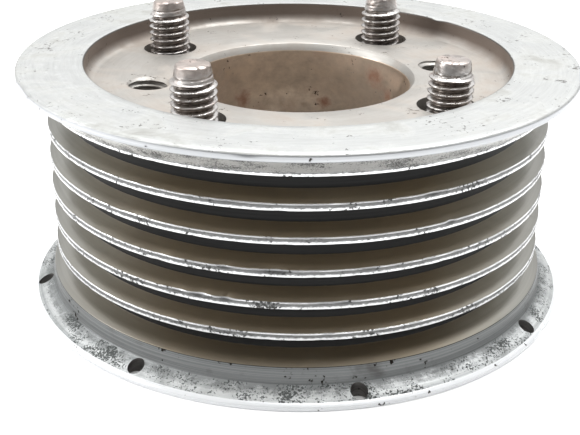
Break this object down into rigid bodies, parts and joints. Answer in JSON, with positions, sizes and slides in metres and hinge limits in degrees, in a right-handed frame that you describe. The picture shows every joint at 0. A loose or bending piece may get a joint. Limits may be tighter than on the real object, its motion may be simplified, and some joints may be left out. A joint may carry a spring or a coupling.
{
  "type": "electromagnetic clutch",
  "caption": "Grooved belt pulley with an electromagnetic clutch inside it: armature, rotor, coil and bearings, captive studs round a pilot bore.",
  "frame": {"origin": "on the axis, in the plane of the lower rim that the clutch stands on", "axes": "+Z along the axis of rotation, towards the mounting recess with its four studs"},
  "size_m": [0.0646, 0.0646, 0.0313],
  "materials": {
    "pulley_steel": "turned steel, worn bright on the ridges and dark in the grooves",
    "bolt_steel": "plated steel with rust on the tips",
    "plate_steel": "plain rolled steel plate",
    "spring_steel": "blued spring steel",
    "rivet_steel": "zinc plated",
    "bearing_steel": "ground and polished",
    "seal_rubber": "matt black",
    "cage_brass": "machined",
    "circlip_steel": "phosphated spring steel",
    "rotor_steel": "turned soft iron",
    "separator_copper": "brazed copper",
    "lining_friction": "moulded friction lining",
    "stator_paint": "black painted soft iron",
    "bobbin_nylon": "natural nylon",
    "winding_copper": "enamelled copper wire",
    "potting_epoxy": "cast resin",
    "contact_brass": "tinned brass pins"
  },
  "bodies": {
    "pulley": {"pulley_shell": "pulley_steel", "mounting_bolt_1": "bolt_steel", "mounting_bolt_2": "bolt_steel", "mounting_bolt_3": "bolt_steel", "mounting_bolt_4": "bolt_steel", "bolt_retainer": "plate_steel", "retainer_rivets": "rivet_steel", "leaf_spring_1": "spring_steel", "leaf_spring_2": "spring_steel", "leaf_spring_3": "spring_steel", "leaf_spring_4": "spring_steel", "pulley_bearing_outer_ring": "bearing_steel", "pulley_bearing_seals": "seal_rubber", "pulley_bearing_circlip": "circlip_steel"},
    "armature": {"armature_plate": "plate_steel", "armature_rivets": "rivet_steel"},
    "rotor": {"rotor_hub": "rotor_steel", "rotor_disc": "rotor_steel", "pole_separator": "separator_copper", "rotor_pole_ring": "rotor_steel", "friction_lining": "lining_friction", "pulley_bearing_inner_ring": "bearing_steel", "stator_bearing_inner_ring": "bearing_steel", "hub_upper_circlip": "circlip_steel", "hub_lower_circlip": "circlip_steel"},
    "pulley_ball_set": {"pulley_bearing_cage": "cage_brass", "pulley_bearing_balls": "bearing_steel"},
    "stator_ball_set": {"stator_bearing_cage": "cage_brass", "stator_bearing_balls": "bearing_steel"},
    "stator": {"stator_shell": "stator_paint", "coil_bobbin": "bobbin_nylon", "coil_winding": "winding_copper", "coil_potting": "potting_epoxy", "stator_bearing_outer_ring": "bearing_steel", "stator_bearing_seals": "seal_rubber", "stator_bearing_circlip": "circlip_steel", "lead_grommet": "seal_rubber", "coil_contacts": "contact_brass", "anti_rotation_dowel": "rivet_steel"}
  },
  "joints": [
    {"name": "rotor_spin", "type": "hinge", "parent": "pulley", "child": "rotor", "pos_m": [0, 0, 0.0127], "axis": [0, 0, 1], "continuous": true},
    {"name": "armature_travel", "type": "slide", "parent": "pulley", "child": "armature", "axis": [0, 0, -1], "range_m": [0, 0.0004], "stiffness_N_per_m": 20000, "springref_m": -0.0001, "deforming": ["leaf_spring_1", "leaf_spring_2", "leaf_spring_3", "leaf_spring_4"]},
    {"name": "stator_spin", "type": "hinge", "parent": "rotor", "child": "stator", "pos_m": [0, 0, 0.0051], "axis": [0, 0, 1], "continuous": true},
    {"name": "pulley_ball_set_spin", "type": "hinge", "parent": "pulley", "child": "pulley_ball_set", "pos_m": [0, 0, 0.0127], "axis": [0, 0, 1], "continuous": true},
    {"name": "stator_ball_set_spin", "type": "hinge", "parent": "rotor", "child": "stator_ball_set", "pos_m": [0, 0, 0.0051], "axis": [0, 0, 1], "continuous": true}
  ],
  "couplings": [
    {"joint": "pulley_ball_set_spin", "follows": "rotor_spin", "ratio": 0.4419},
    {"joint": "stator_ball_set_spin", "follows": "stator_spin", "ratio": 0.5581}
  ]
}
